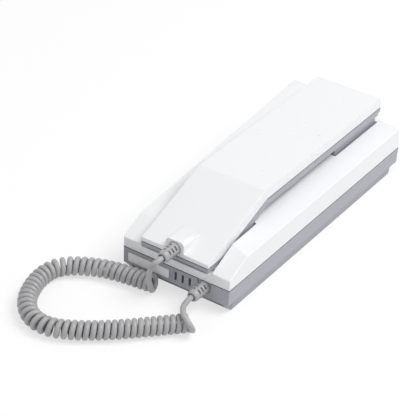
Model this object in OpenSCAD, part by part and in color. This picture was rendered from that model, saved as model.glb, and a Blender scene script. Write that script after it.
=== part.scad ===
// Wall intercom with a lift-off handset and a curly cord, laid on its back.
// X runs across, Y along the length towards the earpiece, Z out from the wall. Millimetres.

/* [Base] */
// Width of the base at its parting line
base_w = 80; // [76:1:90]
// Length of the base
base_l = 214; // [206:1:226]
// Height of the parting line above the wall
parting_z = 18; // [17:0.5:21]
// Wall of the two base mouldings
wall_t = 2; // [1.6:0.1:2.4]
// Floor of the rear case
floor_t = 2.2; // [1.8:0.1:2.8]
// How much each side of the rear case leans in towards the wall
side_draft = 0.3; // [0:0.1:1.5]
// Height of the plinth that meets the wall
plinth_h = 6; // [5:0.5:7]
// Step in from the case to the plinth at each side
plinth_side_in = 0.2; // [0.1:0.1:1.2]
// How much each side of the plinth leans in towards the wall
plinth_lean = 0.6; // [0:0.1:1.2]
// Step in from the case to the plinth at the cord end
plinth_near_in = 5.3; // [4:0.1:7]
// Width of the sloping foot at each of the plinth's near corners
foot_w = 3.6; // [2:0.1:6]
// Step in from the case to the plinth at the earpiece end
plinth_far_in = 9; // [5:0.5:9.5]

/* [Front cover] */
// Height of the front wall above the parting line
front_h = 7.1; // [6:0.1:8]
// Length of the sloping facets behind the front wall
facet_l = 18.5; // [16:0.5:21]
// Height of the deck's outer edges above the parting line
deck_edge_h = 15.4; // [14.5:0.1:17]
// Rise of the deck from its outer edges to the cradle
deck_rise = 2.3; // [1:0.1:3]
// Lean of the far wall up to the deck's edge
far_lean = 2.7; // [0:0.1:4]
// Height of the left rail's far end above the parting line
rail_h = 31; // [26:0.5:33]
// Distance of the rail's far end from the far end of the base
rail_end = 13; // [10:0.5:18]
// Drop of the cradle's open lip below the front wall
lip_drop = 1.8; // [1:0.1:2.2]
// Depth of the lip from the near face
lip_l = 6; // [4:0.5:8]

/* [Handset] */
// Width of the handset
handset_w = 50; // [46:0.5:52]
// Length of the handset
handset_l = 211.5; // [204:0.5:214]
// How far the handset's near end overhangs the base
near_overhang = 2; // [0:0.1:3]
// Gap for fingers between the deck and the handle
finger_gap = 5.1; // [5:0.1:8]
// Height of the grey band below the white shell
band_h = 5.8; // [4.8:0.1:6.4]
// Height of the grey band where it overhangs the earpiece block's far end
tip_band_h = 3.8; // [3:0.1:4.4]
// Lean of the far end from the grey band up to the top
tip_lean = 2; // [0:0.1:3]
// Height of the white shell's sides
shell_side_h = 7.6; // [6:0.1:9]
// Length of the sloping lower section
slope_l = 62.4; // [58:0.2:66]
// Drop of the sloping lower section
slope_drop = 22.2; // [21:0.1:22.6]
// How much nearer the earpiece the grey band bends than the top does
band_shift = 3; // [0:0.1:4]
// White edge at the near end
chin_white_h = 2.8; // [2:0.1:3.5]
// Grey edge at the near end
chin_grey_h = 3.3; // [2.6:0.1:3.6]
// Wall of the handset shells
shell_t = 1.8; // [1.4:0.1:2]
// Length of the earpiece block
ear_l = 54.5; // [48:0.5:56]
// Width of the earpiece block
ear_w = 46.4; // [44:0.2:48]
// Step in from the handset's far end to the earpiece block
ear_overhang = 3.5; // [3:0.5:7]
// Depth of the earpiece block below the deck
ear_sink = 4.7; // [3.5:0.1:6]
// Length of the mouthpiece block
mouth_l = 51.3; // [48:0.1:54]
// Width of the raised cord boss
boss_w = 13.6; // [12:0.1:16]
// Rise of the cord boss over the near edge
boss_h = 7.9; // [7.4:0.1:9]
// Radius of the cord boss's top edges
boss_corner = 3; // [1:0.5:4]
// Radius of the moulding's gate dimple
dimple_r = 1.8; // [1:0.1:2.5]
// Depth of the gate dimple
dimple_d = 0.25; // [0.1:0.05:0.5]

/* [Capsules] */
// Radius of the receiver capsule
receiver_r = 18; // [15:0.5:19]
// Height of the receiver capsule
receiver_h = 7; // [5:0.5:8]
// Thickness of the receiver's gasket
gasket_t = 1.2; // [0.8:0.1:2]
// Radius of the microphone capsule
mic_r = 4.9; // [3:0.1:5.5]
// Height of the microphone capsule
mic_h = 3.6; // [2.5:0.1:4]
// Wall of the microphone's rubber boot
boot_t = 1.2; // [0.8:0.1:1.6]
// Distance of the microphone from the handset's near end
mic_in = 19; // [16:0.5:22]
// Radius of the sound holes
sound_r = 1; // [0.6:0.1:1.2]
// Thickness of the steel ballast
ballast_h = 6; // [3:0.5:8]
// Width of the steel ballast
ballast_w = 34; // [20:1:38]
// Length of the steel ballast
ballast_l = 16; // [10:0.5:18]

/* [Hook] */
// Radius of the hook lever's pin
pin_r = 1.5; // [1:0.1:2]
// Wall round the pin in the lever's hub
hub_t = 1.6; // [1.2:0.1:2]
// Width of the hook lever
lever_w = 8; // [6:0.5:10]
// Thickness of the hook lever's arm
lever_t = 2.5; // [2:0.1:3]
// Reach of the lever's arm from its pin
lever_l = 33; // [30:0.5:34]
// Length of the lever's upright tongue along the handset
tongue_l = 6; // [4:0.5:7]
// Thickness of each of the pin's lugs
lug_t = 2.5; // [2:0.1:3.5]
// Wire of the return spring
spring_wire = 0.7; // [0.5:0.05:0.8]
// Outer radius of the return spring
spring_r = 2.8; // [2.6:0.1:3.2]

/* [Controls] */
// Radius of the door release button
button_r = 6; // [5:0.5:8]
// Height of the door release button above the deck
button_h = 2; // [1.6:0.1:2.4]
// Travel of the door release button
button_travel = 1.2; // [0.8:0.1:1.4]
// Travel of the call volume knob to each side
volume_travel = 3; // [2:0.5:4]
// Width of the call volume knob
volume_w = 5; // [4:0.5:6]

/* [Inside the base] */
// Width of the circuit board
board_w = 60; // [54:1:62]
// Length of the circuit board
board_l = 62; // [58:1:64]
// Thickness of the circuit board
board_t = 1.6; // [1:0.1:2]
// Height of the board's standoffs over the floor
standoff_h = 5; // [4:0.5:6]
// Radius of the call buzzer
buzzer_r = 11; // [8:0.5:12]
// Height of the call buzzer
buzzer_h = 10; // [6:0.5:12]
// Number of terminals
terminals = 4; // [2:1:4]
// Spacing of the terminals
terminal_pitch = 7.2; // [6.8:0.1:7.4]

/* [Fastening] */
// Distance between the two wall screws
wall_screw_gap = 83.5; // [80:0.5:84]
// Radius of the wall screw holes
wall_hole_r = 2.25; // [1.8:0.05:2.5]
// Radius of the cable entry
entry_r = 8; // [6:0.5:9]
// Radius of a case screw's shank
case_screw_r = 1.3; // [1:0.1:1.5]
// Radius of a board or handset screw's shank
small_screw_r = 1.05; // [0.9:0.05:1.2]

/* [Near face] */
// Width of the rating label
label_w = 31.2; // [26:0.2:32]
// Height of the rating label
label_h = 6.4; // [5:0.1:7]
// Number of sound slots
slots = 3; // [2:1:3]
// Spacing of the sound slots
slot_pitch = 5.3; // [4.5:0.1:5.5]
// Width of a sound slot
slot_w = 1.7; // [1.2:0.1:2]
// Height of a sound slot
slot_h = 6.4; // [5:0.1:6.8]

/* [Cord] */
// Thickness of the cord
cord_d = 3.3; // [2.6:0.1:3.3]
// Outer diameter of the curls
curl_d = 12.2; // [11:0.1:12.6]
// Number of curls
curls = 52; // [40:1:52]
// Length of a strain relief outside its wall
relief_l = 13.6; // [12:0.1:15]
// Radius of a strain relief's root
relief_r = 4.3; // [4:0.1:4.4]
// Radius of a strain relief's tip
relief_tip_r = 4; // [3.7:0.1:4.2]
// Radius of a strain relief's neck in its wall
neck_r = 2.6; // [2.2:0.1:2.8]

/* [Fits] */
// Gap between the handset and the sides of the cradle
cradle_gap = 1.2; // [0.8:0.1:1.6]
// Gap under the handset where it rests
rest_gap = 0.3; // [0.2:0.05:0.5]
// Clearance of a pin in its hub
run_gap = 0.05; // [0.02:0.01:0.08]
// Clearance of a screw or neck in its hole
hole_gap = 0.15; // [0.1:0.05:0.25]
// Clearance round a button, knob or lever in its opening
slide_gap = 0.3; // [0.2:0.05:0.4]
// Height of the shadow gap at each parting line
seam_h = 0.5; // [0.3:0.1:0.8]
// Depth of the shadow gap at each parting line
seam_d = 0.6; // [0.3:0.1:0.8]
// Clearance round a strain relief's root in its seat
seat_gap = 0.3; // [0.2:0.1:0.5]

/* [Hidden] */
$fn = 64;
white = "#f2f2f1";
grey = "#9b9ea3";
dark_grey = "#85888d";
steel = "#b9bcc0";
over = 1;
lap = 0.1;

half_w = base_w / 2;
near_y = -base_l / 2;
far_y = base_l / 2;
front_z = parting_z + front_h;
deck_edge_z = parting_z + deck_edge_h;
deck_z = deck_edge_z + deck_rise;
lip_z = front_z - lip_drop;
fold_y = near_y + facet_l;
facet_slope = (deck_edge_z - front_z) / facet_l;
far_slope = far_lean / deck_edge_h;
rail_z = parting_z + rail_h;
rail_y = far_y - rail_end;

handset_hw = handset_w / 2;
cradle_hw = handset_hw + cradle_gap;
ear_hw = ear_w / 2;
ear_room_hw = ear_hw + cradle_gap;
handset_near = near_y - near_overhang;
handset_far = handset_near + handset_l;
handle_z = deck_z + finger_gap;
band_z = handle_z + band_h;
top_z = band_z + shell_side_h;
bend_y = handset_near + slope_l;
slope = slope_drop / slope_l;
near_top_z = top_z - slope_drop;
chin_z = near_top_z - chin_white_h;
band_bend = bend_y + band_shift;
chin_y = band_bend - (band_z - chin_z) / slope;
tip_z = band_z - tip_band_h;
mouth_z = chin_z - chin_grey_h;
mouth_back = handset_near + mouth_l;
mouth_floor_z = mouth_z - rest_gap;
ear_far = handset_far - ear_overhang;
ear_near = ear_far - ear_l;
ear_y = (ear_near + ear_far) / 2;
ear_z = deck_z - ear_sink;
ear_floor_z = ear_z - rest_gap;
boss_z = near_top_z + boss_h;
boss_low = near_top_z - shell_t;
boss_back = bend_y - (top_z - boss_z) / slope + over;
mic_y = handset_near + mic_in;
mic_hole_pitch = 3;
ear_hole_pitch = 5;
ear_hole_rings = 2;
rim_t = 1.5;
dimple_x = 16.7;
dimple_from_bend = 77.5;

post_r = 5;
post_in = 7;
post_end = 15;
case_posts = [for (sx = [-1, 1], sy = [-1, 1]) [sx * (half_w - post_in), sy * (base_l / 2 - post_end)]];
head_r = 2.9;
head_h = 2;
head_z = 10;
cover_post_r = 3.6;
case_pilot_l = 9;

hook_x = 12;
hook_from_ear = 11.4;
hook_y = ear_near - hook_from_ear;
hook_z = parting_z - 1;
lug_l = 8;
entry_from_hook = 28;
entry_at = [0, hook_y + entry_from_hook];
wall_from_hook = 33.1;
wall_y = hook_y - wall_from_hook;

board_z = floor_t + standoff_h;
board_top = board_z + board_t;
board_room = 3.1;
board_far = hook_y - lug_l / 2 - board_room;
board_y = board_far - board_l / 2;
standoff_in = 4;
standoff_r = 3;
standoffs = [for (sx = [-1, 1], sy = [-1, 1])
    [sx * (board_w / 2 - standoff_in), board_y + sy * (board_l / 2 - standoff_in)]];
small_head_r = 2.4;
small_head_h = 1.5;
small_screw_l = 6;

terminal_size = [terminals * terminal_pitch + 2, 12, 10];
terminal_in = 2;
terminal_y = board_far - terminal_size[1] / 2 - terminal_in;
terminal_top = board_top + terminal_size[2];
wire_hole = [3.4, 8, 3.4];
wire_hole_z = 3;
terminal_xs = [for (i = [0:terminals - 1]) (i - (terminals - 1) / 2) * terminal_pitch];
terminal_well_r = 2.2;
terminal_well_d = 4;
terminal_head_h = 2.4;
terminal_seat = terminal_top - terminal_well_d;
driver_slot = [0.8, 1.6];
buzzer_hole_r = 2;
buzzer_hole_d = 2;

hub_r = pin_r + run_gap + hub_t;
tongue_z = ear_floor_z;
arm_z = hook_z - lever_t / 2;
tongue_swing = 4;
tongue_room = 1.5;
switch_size = [7, 12, 7];
switch_from_hook = 15;
switch_y = hook_y + switch_from_hook;
plunger_w = 3;
plunger_in = 2;
plunger_out = 2.5;
plunger_room = 0.5;
switch_z = arm_z - slide_gap - plunger_out - switch_size[2];
spring_in = 3;
spring_y = hook_y + lever_l - spring_r - spring_in;
spring_top = arm_z - slide_gap;
spring_turns = 6;
spring_steps = 10;
spring_post_h = 4;

button_from_board = 5;
button_y = board_y - button_from_board;
flange_t = 1.2;
flange_out = 1.5;
stem_r = 2;
tact_size = [8, 8, 5];
tact_r = 1.6;
tact_h = 1.2;
tact_room = 0.2;

volume_in = 28;
volume_y = near_y + volume_in;
volume_z = parting_z + 8.5;
volume_size = [5, 2 * volume_travel + 8, 7];
volume_stem = [2.4, 2.6];
volume_stem_l = wall_t + 2.5;
volume_well = 3;
volume_out = 1.2;
volume_cap_h = 4;
volume_slot = [volume_stem[0] / 2 + volume_travel + slide_gap, volume_stem[1] / 2 + slide_gap];

relief_x = 21.5;
relief_drop = 4.7;
chin_edge = 0.4;
seat_r = relief_r + seat_gap;
seat_d = 0.8;
inner_flange = [0.7, 1.2];
outlet_d = 2.5;
outlet_gap = 0.7;
tip_taper = [0.8, 1.8];
slit = [3, 1.5, 1.3];
slit_pitch = 3;
slit_from = 3.2;
slits = 3;
slit_rows = 5;
slit_turn = 46;
base_root = [relief_x, near_y, parting_z - relief_drop];
handset_root = [0, handset_near, chin_z + chin_edge + seat_r];

slot_x = 0.3;
slot_z = 12;
label_x = -20.4;
label_z = 11.3;
label_t = 0.15;
label_corner = 1;
buzzer_room = 1.5;
buzzer_at = [slot_x + slot_pitch, near_y + plinth_near_in + wall_t + buzzer_r + buzzer_room];

screw_from_bend = 14;
screw_from_ear = 12;
handset_screw_ys = [bend_y + screw_from_bend, ear_near - screw_from_ear];
screw_clear = 1;
pad_r = 4;
pad_h = 2.6;
shell_post_r = 2.8;
gasket_w = 4;
receiver_step = 2;
receiver_back_r = 0.6 * receiver_r;
boot_hole_r = 2;
ballast_room = 1;

// Route of the cord, with Y counted from the base's near face: the lead off the handset,
// the line that the curls go round and the lead to the base.
handset_lead = [[-1.5, -21.3, 32.5], [-3.5, -21.8, 28.5], [-6, -20, 22.5], [-8, -17.3, 15.5]];
curl_line = [
    [-9.5, -8.9, 7], [-17, -9.5, 6.5], [-25, -10.4, 6.4], [-34, -11.8, 6.4], [-43, -14.2, 6.4],
    [-51, -17.6, 6.4], [-58.5, -22, 6.4], [-64.5, -27.2, 6.4], [-68.5, -33.8, 6.4], [-69.8, -41.5, 6.4],
    [-69, -50.5, 6.4], [-66.5, -59, 6.4], [-63, -66.8, 6.4], [-58.2, -73.5, 6.4], [-52, -78.8, 6.4],
    [-44.5, -82, 6.4], [-37, -82.5, 6.4], [-30, -80.8, 6.4], [-22.5, -77, 6.4], [-13, -70.5, 6.4],
    [-4, -63, 6.4], [5, -54.4, 6.4], [13.5, -45.6, 6.4], [22, -36.5, 6.4], [30, -27.8, 6.4]
];
base_lead = [
    [36, -32.8, 6.6], [35.2, -34.6, 10.6], [32, -34, 13.2], [29, -32.8, 14.5], [26.5, -30, 15],
    [24, -25.8, 14.6], [22.3, -20.5, 13.7]
];
first_angle = -95;
end_rings = 3;
rings_per_curl = 8;
cord_sides = 6;
spline_steps = 8;
lead_steps = 3;
own_length = 3 * cord_d;

function facet_top(y) = front_z + (y - near_y) * facet_slope;
function facet_at(z) = near_y + (z - front_z) / facet_slope;
function far_at(z) = far_y - (z - parting_z) * far_slope;
function shell_top(y) = top_z - max(0, bend_y - y) * slope;
function unit(v) = v / norm(v);
function from_near(p) = [for (q = p) q + [0, near_y, 0]];

// Profile drawn in Y and Z, swept along X.
module along_x(x0, x1) {
    translate([x0, 0, 0])
        rotate([90, 0, 90])
            linear_extrude(x1 - x0)
                children();
}

// Profile drawn in X and Z, swept along Y.
module along_y(y0, y1) {
    translate([0, y1, 0])
        rotate([90, 0, 0])
            linear_extrude(y1 - y0)
                children();
}

module box(low, high) {
    translate(low)
        cube(high - low);
}

module column(at, r, z0, z1) {
    translate([at[0], at[1], z0])
        cylinder(r = r, h = z1 - z0);
}

module rounded_plate(w, h, r) {
    square([w - 2 * r, h], center = true);
    square([w, h - 2 * r], center = true);
    for (sx = [-1, 1], sy = [-1, 1])
        translate([sx * (w / 2 - r), sy * (h / 2 - r)])
            circle(r = r);
}

// Screw with its head below and its shank upwards.
module screw(at, z, r_head, h_head, r, l) {
    column(at, r_head, z, z + h_head);
    column(at, r, z + h_head - lap, z + h_head + l);
}

module case_outline() {
    along_y(near_y, far_y)
        polygon([
            [-half_w + side_draft, plinth_h], [half_w - side_draft, plinth_h],
            [half_w, parting_z], [-half_w, parting_z]
        ]);
    plinth(0, 0, plinth_h + over);
    foot_x = half_w - side_draft - plinth_side_in - plinth_lean;
    for (x0 = [-foot_x, foot_x - foot_w])
        along_x(x0, x0 + foot_w)
            polygon([
                [near_y + plinth_near_in, 0], [near_y + plinth_near_in + over, 0],
                [near_y + plinth_near_in + over, plinth_h + lap], [near_y, plinth_h + lap], [near_y, plinth_h]
            ]);
}

// Plinth that meets the wall; t is the wall to take off.
module plinth(t, z0, z1) {
    high = half_w - side_draft - plinth_side_in - t;
    low = high - plinth_lean;
    along_y(near_y + plinth_near_in + t, far_y - plinth_far_in - t)
        polygon([
            [-low, z0], [low, z0], [high, plinth_h], [high, z1], [-high, z1], [-high, plinth_h]
        ]);
}

module case_hollow() {
    along_y(near_y + wall_t, far_y - wall_t)
        polygon([
            [-half_w + side_draft + wall_t, plinth_h + floor_t],
            [half_w - side_draft - wall_t, plinth_h + floor_t],
            [half_w - wall_t, parting_z], [half_w - wall_t, parting_z + over],
            [-half_w + wall_t, parting_z + over], [-half_w + wall_t, parting_z]
        ]);
    plinth(wall_t, floor_t, plinth_h + floor_t + over);
}

module hook_lugs() {
    for (side = [-1, 1])
        translate([hook_x + side * (lever_w / 2 + slide_gap + lug_t / 2), hook_y, 0])
            box([-lug_t / 2, -lug_l / 2, floor_t - over], [lug_t / 2, lug_l / 2, hook_z + hub_r]);
}

module rear_case() {
    color(grey)
        difference() {
            union() {
                difference() {
                    case_outline();
                    case_hollow();
                }
                for (p = case_posts)
                    column(p, post_r, 0, parting_z);
                for (p = standoffs)
                    column(p, standoff_r, floor_t - over, board_z);
                hook_lugs();
                translate([hook_x, switch_y, 0])
                    box([-switch_size[0] / 2, -switch_size[1] / 2, floor_t - over],
                        [switch_size[0] / 2, switch_size[1] / 2, switch_z]);
                column([hook_x, spring_y], spring_r - spring_wire - slide_gap, floor_t - over,
                    floor_t + spring_post_h);
            }
            for (p = case_posts) {
                column(p, head_r + slide_gap, -over, head_z);
                column(p, case_screw_r + hole_gap, head_z - over, parting_z + over);
            }
            for (p = standoffs)
                column(p, small_screw_r + run_gap, board_z - small_screw_l, board_z + over);
            for (side = [-1, 1])
                column([0, wall_y + side * wall_screw_gap / 2], wall_hole_r, -over, floor_t + over);
            column(entry_at, entry_r, -over, floor_t + over);
            translate([hook_x, hook_y, hook_z])
                rotate([0, 90, 0])
                    cylinder(r = pin_r, h = 4 * lever_w, center = true);
            for (i = [0:slots - 1])
                sound_slot(slot_x + i * slot_pitch);
            difference() {
                box([-half_w - over, near_y - over, parting_z - seam_h],
                    [half_w + over, far_y + over, parting_z + over]);
                box([-half_w + seam_d, near_y + seam_d, parting_z - seam_h - over],
                    [half_w - seam_d, far_y - seam_d, parting_z + 2 * over]);
            }
            relief_seat(base_root, wall_t);
            box([relief_x - seat_r, near_y - over, base_root[2]],
                [relief_x + seat_r, near_y + seat_d, parting_z + over]);
        }
}

module sound_slot(x) {
    along_y(near_y - over, near_y + wall_t + over)
        translate([x, slot_z])
            rounded_plate(slot_w, slot_h, slot_w / 2 - 0.01);
}

// Hole for a strain relief's neck through a wall of thickness t, with a shallow seat for its root.
module relief_seat(root, t) {
    translate(root)
        rotate([90, 0, 0]) {
            translate([0, 0, -t - over])
                cylinder(r = neck_r + hole_gap, h = t + 2 * over);
            translate([0, 0, -seat_d])
                cylinder(r = seat_r, h = seat_d + over);
        }
}

// Cover without its hollow: the deck and its facet, and the wedge-shaped rail along the left.
module cover_block() {
    intersection() {
        along_x(-cradle_hw, half_w)
            polygon([
                [near_y, parting_z], [far_y, parting_z], [far_at(deck_z), deck_z], [facet_at(deck_z), deck_z],
                [near_y, front_z]
            ]);
        along_y(near_y, far_y)
            polygon([
                [-cradle_hw, parting_z], [half_w, parting_z], [half_w, deck_edge_z], [ear_room_hw, deck_z],
                [-cradle_hw, deck_z]
            ]);
    }
    along_x(-half_w, -cradle_hw)
        polygon([
            [near_y, parting_z], [far_y, parting_z], [far_at(deck_z), deck_z], [rail_y, rail_z],
            [fold_y, deck_edge_z], [near_y, front_z]
        ]);
}

module cover_hollow() {
    t = wall_t;
    low = parting_z - over;
    intersection() {
        along_x(-half_w + t, half_w - t)
            polygon([
                [near_y + t, low], [far_y - t, low], [far_y - t, parting_z], [far_at(deck_z) - t, deck_z - t],
                [facet_at(deck_z), deck_z - t], [near_y + t, facet_top(near_y + t) - t * (1 + facet_slope)]
            ]);
        along_y(near_y, far_y)
            polygon([
                [-half_w + t, low], [half_w - t, low], [half_w - t, deck_edge_z - t],
                [ear_room_hw, deck_z - t], [-cradle_hw, deck_z - t], [-cradle_hw, deck_edge_z - t],
                [-half_w + t, deck_edge_z - t]
            ]);
    }
    along_x(-half_w + t, -cradle_hw - t)
        polygon([
            [fold_y + t, low], [far_y - t, low], [far_y - t, parting_z], [far_at(deck_z) - t, deck_z - t],
            [rail_y - t, rail_z - t], [fold_y + t, deck_edge_z - 2 * t]
        ]);
}

// Troughs that the two ends of the handset rest in; t grows them by their wall.
module cradle(t) {
    side = cradle_hw + t;
    front = t > 0 ? near_y : near_y - over;
    box([-side, front, mouth_floor_z - t], [side, mouth_back + cradle_gap + t, rail_z]);
    box([-side, front, lip_z - t], [side, near_y + lip_l + t, rail_z]);
    box([-ear_room_hw - t, ear_near - cradle_gap - t, ear_floor_z - t],
        [ear_room_hw + t, ear_far + cradle_gap + t, rail_z]);
}

module front_cover() {
    color(white)
        difference() {
            union() {
                difference() {
                    cover_block();
                    cover_hollow();
                }
                intersection() {
                    cover_block();
                    union() {
                        cradle(wall_t);
                        for (p = case_posts)
                            column(p, cover_post_r, parting_z, rail_z);
                    }
                }
            }
            cradle(0);
            for (p = case_posts)
                column(p, case_screw_r + run_gap, parting_z - over, parting_z + case_pilot_l);
            column([0, button_y], button_r + slide_gap, deck_z - 2 * wall_t, deck_z + over);
            translate([hook_x, hook_y, ear_floor_z])
                box([-lever_w / 2 - slide_gap, lever_l - tongue_l - tongue_swing, -2 * wall_t],
                    [lever_w / 2 + slide_gap, lever_l + tongue_room, over]);
            translate([-half_w, volume_y, volume_z])
                box([-over, -volume_slot[0], -volume_slot[1]],
                    [wall_t + over, volume_slot[0], volume_slot[1]]);
        }
}

module case_screws() {
    color(steel)
        for (p = case_posts)
            screw(p, head_z - head_h, head_r, head_h, case_screw_r,
                parting_z - head_z + case_pilot_l - screw_clear);
}

module rating_label() {
    color(white)
        along_y(near_y - label_t, near_y)
            translate([label_x, label_z])
                rounded_plate(label_w, label_h, label_corner);
}

module circuit_board() {
    color("#2f6b45")
        difference() {
            translate([0, board_y, board_z + board_t / 2])
                cube([board_w, board_l, board_t], center = true);
            for (p = standoffs)
                column(p, small_screw_r + hole_gap, board_z - over, board_top + over);
        }
}

module board_screws() {
    color(steel)
        for (p = standoffs) {
            column(p, small_head_r, board_top, board_top + small_head_h);
            column(p, small_screw_r, board_top - small_screw_l + screw_clear, board_top + lap);
        }
}

module terminal_block() {
    color("#3d7d5a")
        difference() {
            translate([0, terminal_y, board_top + terminal_size[2] / 2])
                cube(terminal_size, center = true);
            for (x = terminal_xs) {
                column([x, terminal_y], terminal_well_r + hole_gap, terminal_seat, terminal_top + over);
                translate([x, terminal_y + terminal_size[1] / 2, board_top + wire_hole_z])
                    cube(wire_hole, center = true);
            }
        }
}

module terminal_screws() {
    color(steel)
        for (x = terminal_xs)
            difference() {
                column([x, terminal_y], terminal_well_r, terminal_seat, terminal_seat + terminal_head_h);
                translate([x, terminal_y, terminal_seat + terminal_head_h])
                    cube([2 * terminal_well_r + over, driver_slot[0], driver_slot[1]], center = true);
            }
}

module call_buzzer() {
    color("#2b2c2e")
        difference() {
            column(buzzer_at, buzzer_r, floor_t, floor_t + buzzer_h);
            column(buzzer_at, buzzer_hole_r, floor_t + buzzer_h - buzzer_hole_d, floor_t + buzzer_h + over);
        }
}

module hook_lever() {
    color(white)
        difference() {
            translate([hook_x, hook_y, hook_z])
                union() {
                    rotate([0, 90, 0])
                        cylinder(r = hub_r, h = lever_w, center = true);
                    box([-lever_w / 2, 0, -lever_t / 2], [lever_w / 2, lever_l, lever_t / 2]);
                    box([-lever_w / 2, lever_l - tongue_l, 0], [lever_w / 2, lever_l, tongue_z - hook_z]);
                }
            translate([hook_x, hook_y, hook_z])
                rotate([0, 90, 0])
                    cylinder(r = pin_r + run_gap, h = 2 * lever_w, center = true);
        }
}

module hook_pin() {
    color(steel)
        translate([hook_x, hook_y, hook_z])
            rotate([0, 90, 0])
                cylinder(r = pin_r, h = lever_w + 2 * slide_gap + 2 * lug_t, center = true);
}

module hook_spring() {
    r = spring_r - spring_wire / 2;
    rise = spring_top - floor_t - spring_wire - 2 * run_gap;
    low = floor_t + run_gap + spring_wire / 2;
    steps = spring_turns * spring_steps;
    points = [for (i = [0:steps])
        let (a = 360 * i / spring_steps)
        [hook_x + r * cos(a), spring_y + r * sin(a), low + rise * i / steps]];
    color(steel)
        tube(points, spring_wire / 2, unit(points[1] - points[0]), unit(points[steps] - points[steps - 1]));
}

module hook_switch() {
    well = plunger_w / 2 + slide_gap;
    color("#2b2c2e")
        translate([hook_x, switch_y, switch_z])
            difference() {
                box([-switch_size[0] / 2, -switch_size[1] / 2, 0],
                    [switch_size[0] / 2, switch_size[1] / 2, switch_size[2]]);
                box([-well, -well, switch_size[2] - plunger_in - plunger_room],
                    [well, well, switch_size[2] + over]);
            }
}

module hook_plunger() {
    color("#c8452f")
        translate([hook_x, switch_y, switch_z + switch_size[2]])
            box([-plunger_w / 2, -plunger_w / 2, -plunger_in], [plunger_w / 2, plunger_w / 2, plunger_out]);
}

module door_button() {
    under = deck_z - wall_t - slide_gap;
    color(dark_grey) {
        column([0, button_y], button_r, under - flange_t, deck_z + button_h);
        column([0, button_y], button_r + flange_out, under - flange_t, under);
        column([0, button_y], stem_r, board_top + tact_size[2] + tact_h + button_travel + tact_room, under);
    }
}

module door_switch() {
    color("#2b2c2e")
        translate([0, button_y, board_top]) {
            translate([0, 0, tact_size[2] / 2])
                cube(tact_size, center = true);
            cylinder(r = tact_r, h = tact_size[2] + tact_h);
        }
}

module volume_switch() {
    color("#2b2c2e")
        translate([-half_w + wall_t, volume_y, volume_z])
            difference() {
                box([0, -volume_size[1] / 2, -volume_size[2] / 2],
                    [volume_size[0], volume_size[1] / 2, volume_size[2] / 2]);
                box([-over, -volume_slot[0], -volume_slot[1]], [volume_well, volume_slot[0], volume_slot[1]]);
            }
}

module volume_knob() {
    color(dark_grey)
        translate([-half_w, volume_y, volume_z]) {
            box([-slide_gap - volume_out, -volume_w / 2, -volume_cap_h / 2],
                [-slide_gap, volume_w / 2, volume_cap_h / 2]);
            box([-slide_gap - lap, -volume_stem[0] / 2, -volume_stem[1] / 2],
                [volume_stem_l, volume_stem[0] / 2, volume_stem[1] / 2]);
        }
}

// Strain relief with its root in the wall's seat, rows of slits round it, a tapered tip and an open outlet
// for the cord.
module relief(root, t) {
    back = -t - hole_gap - inner_flange[1];
    color(grey)
        translate(root)
            rotate([90, 0, 0])
                difference() {
                    union() {
                        translate([0, 0, -seat_d])
                            cylinder(r1 = relief_r, r2 = relief_tip_r, h = seat_d + relief_l - tip_taper[1]);
                        translate([0, 0, relief_l - tip_taper[1]])
                            cylinder(r1 = relief_tip_r, r2 = relief_tip_r - tip_taper[0], h = tip_taper[1]);
                        translate([0, 0, back])
                            cylinder(r = neck_r, h = -back);
                        translate([0, 0, back])
                            cylinder(r = neck_r + inner_flange[0], h = inner_flange[1]);
                    }
                    translate([0, 0, relief_l - outlet_d])
                        cylinder(r = cord_d / 2 + outlet_gap, h = outlet_d + over);
                    for (row = [0:slit_rows - 1], i = [0:slits - 1])
                        rotate([0, 0, 360 / slit_rows * row - slit_turn])
                            translate([0, relief_r, slit_from + i * slit_pitch])
                                cube([slit[0], 2 * slit[1], slit[2]], center = true);
                }
}

module base_relief() {
    relief(base_root, wall_t);
}

module handset_relief() {
    relief(handset_root, shell_t);
}

// White shell in side view: t is the wall to take off and drop how far the open edge is carried down.
module shell_side(t, drop) {
    polygon([
        [handset_near + t, chin_z - drop], [chin_y, chin_z - drop], [band_bend, band_z - drop],
        [handset_far - t, band_z - drop], [handset_far - t, band_z], [handset_far - tip_lean - t, top_z - t],
        [bend_y, top_z - t],
        [handset_near + t, shell_top(handset_near + t) - t]
    ]);
}

// Raised boss where the cord leaves the handset, seen from its end; t is the wall to take off.
module boss_face(t) {
    half = boss_w / 2 - t;
    r = max(boss_corner - t, lap);
    translate([-half, boss_low])
        square([2 * half, boss_z - t - r - boss_low]);
    translate([-half + r, boss_low])
        square([2 * half - 2 * r, boss_z - t - boss_low]);
    for (side = [-1, 1])
        translate([side * (half - r), boss_z - t - r])
            circle(r = r);
}

module handset_outer_shell() {
    color(white)
        difference() {
            union() {
                difference() {
                    union() {
                        along_x(-handset_hw, handset_hw)
                            shell_side(0, 0);
                        along_y(handset_near, boss_back)
                            boss_face(0);
                    }
                    along_x(-handset_hw + shell_t, handset_hw - shell_t)
                        shell_side(shell_t, 4 * over);
                    along_y(handset_near + shell_t, boss_back)
                        boss_face(shell_t);
                }
                for (y = handset_screw_ys)
                    column([0, y], shell_post_r, handle_z + pad_h, top_z - shell_t / 2);
            }
            for (y = handset_screw_ys)
                column([0, y], small_screw_r + run_gap, handle_z,
                    handle_z + pad_h + small_screw_l - screw_clear);
            column([dimple_x, bend_y + dimple_from_bend], dimple_r, top_z - dimple_d, top_z + over);
            relief_seat(handset_root, shell_t);
        }
}

module inner_side() {
    polygon([
        [handset_near, chin_z], [chin_y, chin_z], [band_bend, band_z], [handset_far, band_z],
        [handset_far, tip_z], [ear_far, tip_z], [ear_far, handle_z], [band_bend, handle_z],
        [mouth_back, handle_z - (band_bend - mouth_back) * slope], [mouth_back, mouth_z],
        [handset_near, mouth_z]
    ]);
}

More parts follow.
